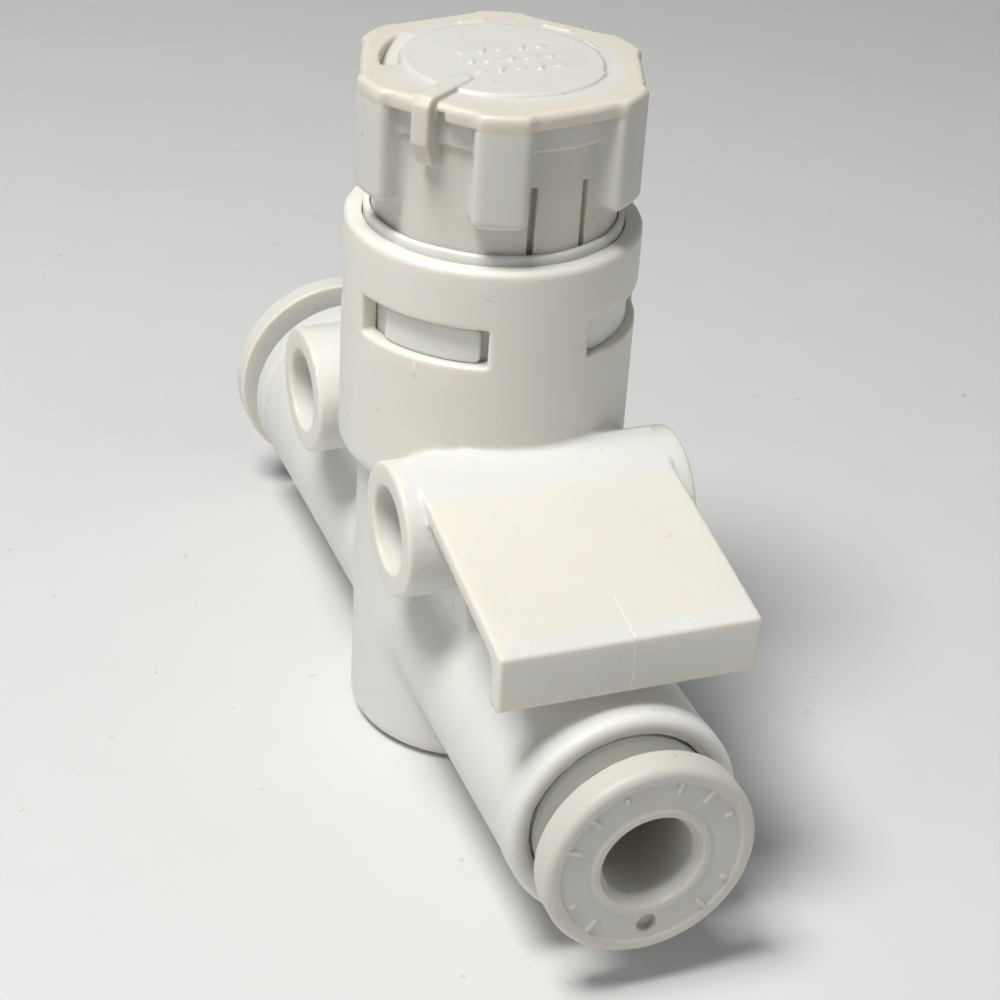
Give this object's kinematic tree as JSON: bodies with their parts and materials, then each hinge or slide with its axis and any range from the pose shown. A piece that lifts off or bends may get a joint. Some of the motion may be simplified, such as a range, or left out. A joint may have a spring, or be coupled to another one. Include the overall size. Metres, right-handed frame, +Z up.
{
  "type": "in-line flow control valve",
  "caption": "In-line flow control valve with push-in tube ports, lobed push-lock adjusting knob and cross mounting bosses.",
  "frame": {"origin": "centre of the flat base, on the needle axis", "axes": "+Z up along the needle axis, -Y towards the port under the sloped plate, X along the mounting holes"},
  "size_m": [0.0142, 0.048, 0.0353],
  "materials": {
    "white_plastic": "satin",
    "white_plastic_dark": "satin",
    "drive_plastic": "satin",
    "knob_plastic": "satin",
    "needle_brass": "turned",
    "guide_brass": "turned",
    "seal_rubber": "matte",
    "inner_plastic": "satin",
    "button_plastic": "satin",
    "chuck_steel": "sheet"
  },
  "bodies": {
    "housing": {"valve_body": "white_plastic", "knob_guide": "white_plastic_dark", "needle_guide": "guide_brass", "needle_oring": "seal_rubber", "insert_sleeve": "inner_plastic", "sleeve_oring": "seal_rubber", "u_seal": "seal_rubber", "seat_ring": "guide_brass", "front_guide_ring": "white_plastic_dark", "front_chuck": "chuck_steel", "front_tube_seal": "seal_rubber", "front_backing_ring": "inner_plastic", "rear_guide_ring": "white_plastic_dark", "rear_chuck": "chuck_steel", "rear_tube_seal": "seal_rubber", "rear_backing_ring": "inner_plastic"},
    "drive": {"drive_sleeve": "drive_plastic"},
    "knob": {"knob": "knob_plastic"},
    "needle": {"needle": "needle_brass"},
    "front_button": {"front_release_button": "button_plastic"},
    "rear_button": {"rear_release_button": "button_plastic"}
  },
  "joints": [
    {"name": "knob_turn", "type": "hinge", "parent": "housing", "child": "drive", "pos_m": [0, 0, 0.0189], "axis": [0, 0, 1], "range_deg": [-720, 2160]},
    {"name": "knob_push", "type": "slide", "parent": "drive", "child": "knob", "axis": [0, 0, 1], "range_m": [-0.0013, 0]},
    {"name": "needle_feed", "type": "slide", "parent": "drive", "child": "needle", "axis": [0, 0, 1], "range_m": [-0.0007, 0.0021]},
    {"name": "front_release", "type": "slide", "parent": "housing", "child": "front_button", "axis": [0, 1, 0], "range_m": [0, 0.001], "stiffness_N_per_m": 600},
    {"name": "rear_release", "type": "slide", "parent": "housing", "child": "rear_button", "axis": [0, -1, 0], "range_m": [0, 0.001], "stiffness_N_per_m": 600}
  ],
  "couplings": [
    {"joint": "knob_turn", "follows": "needle_feed", "rad_per_m": 17952}
  ]
}
